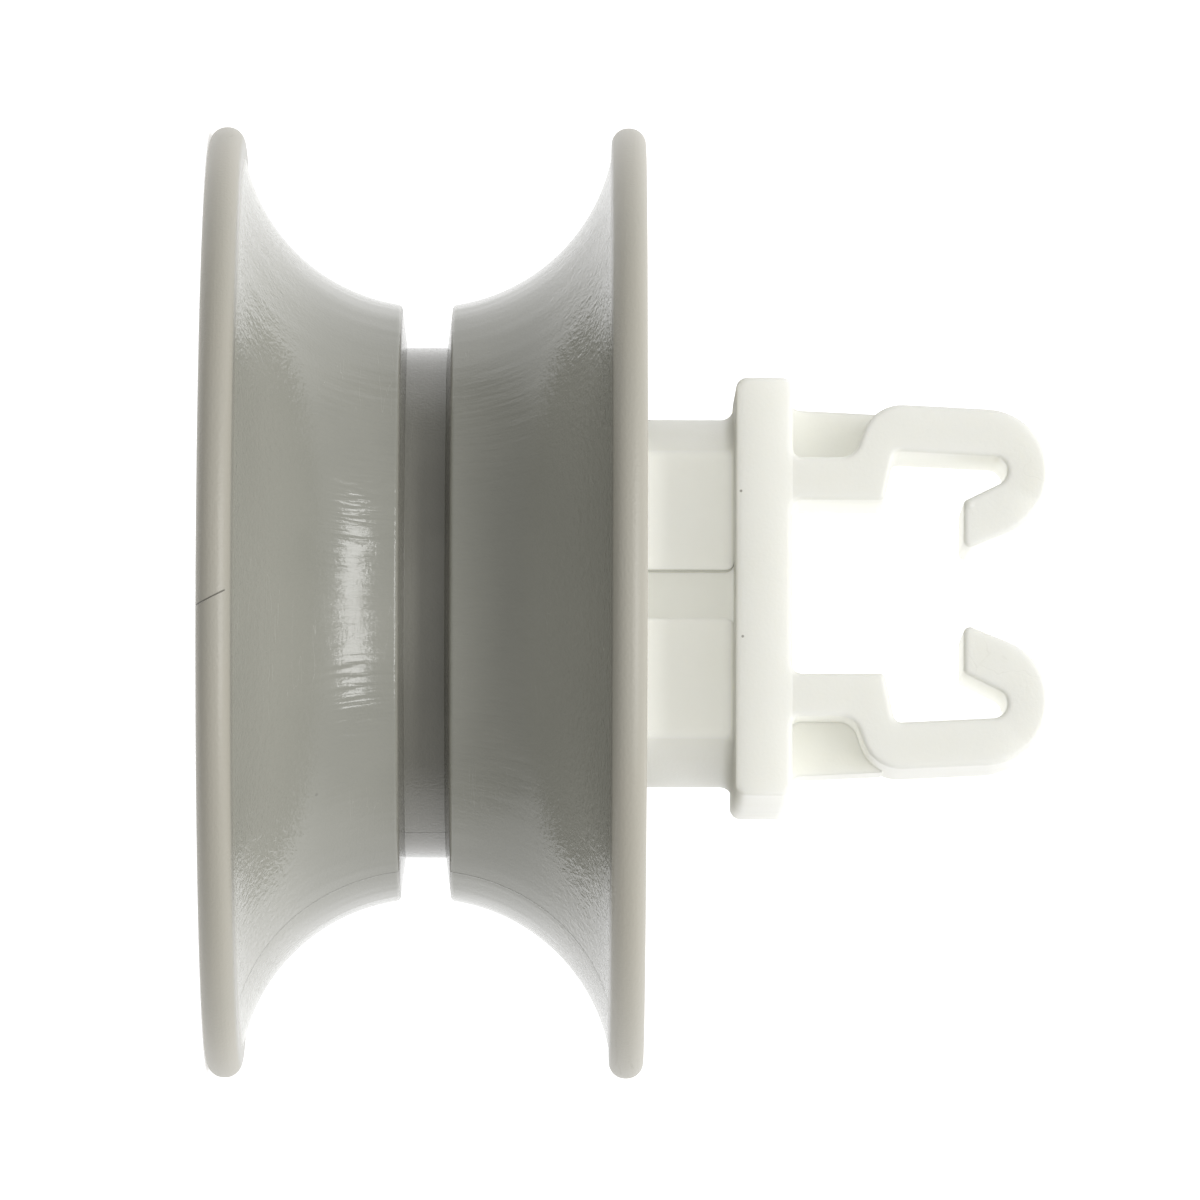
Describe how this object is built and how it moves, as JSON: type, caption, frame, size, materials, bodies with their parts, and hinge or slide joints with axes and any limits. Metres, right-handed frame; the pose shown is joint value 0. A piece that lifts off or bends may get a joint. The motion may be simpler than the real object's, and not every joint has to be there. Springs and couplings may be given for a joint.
{
  "type": "dishwasher rack roller",
  "caption": "Spool-shaped plastic roller with hollow treads and a middle groove, turning on the snap axle of a moulded clip whose hooks grip a basket wire.",
  "frame": {"origin": "centre of the roller's outer flange face, which the part stands on", "axes": "+Z along the roller's axis towards the hooks, X across the two hooks, -Y the side of the flush front faces of collar and hooks"},
  "size_m": [0.038, 0.038, 0.0332],
  "materials": {
    "roller_plastic": "semi-gloss moulded",
    "clip_plastic": "natural white, satin moulded"
  },
  "bodies": {
    "clip": {"axle_clip": "clip_plastic"},
    "wheel": {"roller": "roller_plastic"}
  },
  "joints": [
    {"name": "roller_spin", "type": "hinge", "parent": "clip", "child": "wheel", "pos_m": [0, 0, 0.0087], "axis": [0, 0, 1], "continuous": true}
  ]
}
